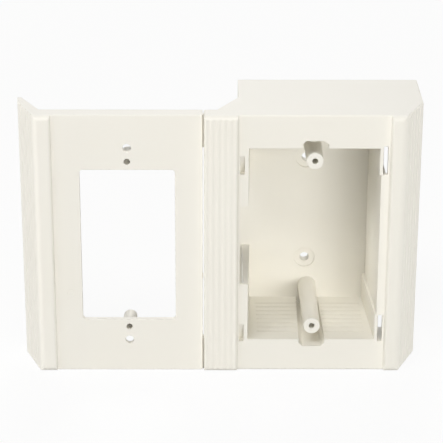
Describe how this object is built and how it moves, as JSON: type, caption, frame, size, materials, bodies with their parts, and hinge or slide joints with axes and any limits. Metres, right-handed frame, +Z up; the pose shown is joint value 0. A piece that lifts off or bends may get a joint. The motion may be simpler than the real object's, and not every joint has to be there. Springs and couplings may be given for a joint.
{
  "type": "surface raceway box",
  "caption": "Surface-mount raceway box: deep outlet box with an open front, hinged at a seam to a device plate that covers the raceway beside it.",
  "frame": {"origin": "on the wall plane behind the centre of the box's device opening", "axes": "+X to the right along the wall, +Y back into the wall, +Z up"},
  "size_m": [0.1923, 0.0605, 0.1288],
  "materials": {
    "box_plastic": "satin moulded off-white plastic",
    "plate_plastic": "satin moulded off-white plastic"
  },
  "bodies": {
    "box": {"offset_box": "box_plastic"},
    "plate": {"device_plate": "plate_plastic"}
  },
  "joints": [
    {"name": "plate_hinge", "type": "hinge", "parent": "box", "child": "plate", "pos_m": [-0.052, -0.0554, 0], "axis": [0, 0, 1], "range_deg": [-4, 11]}
  ]
}
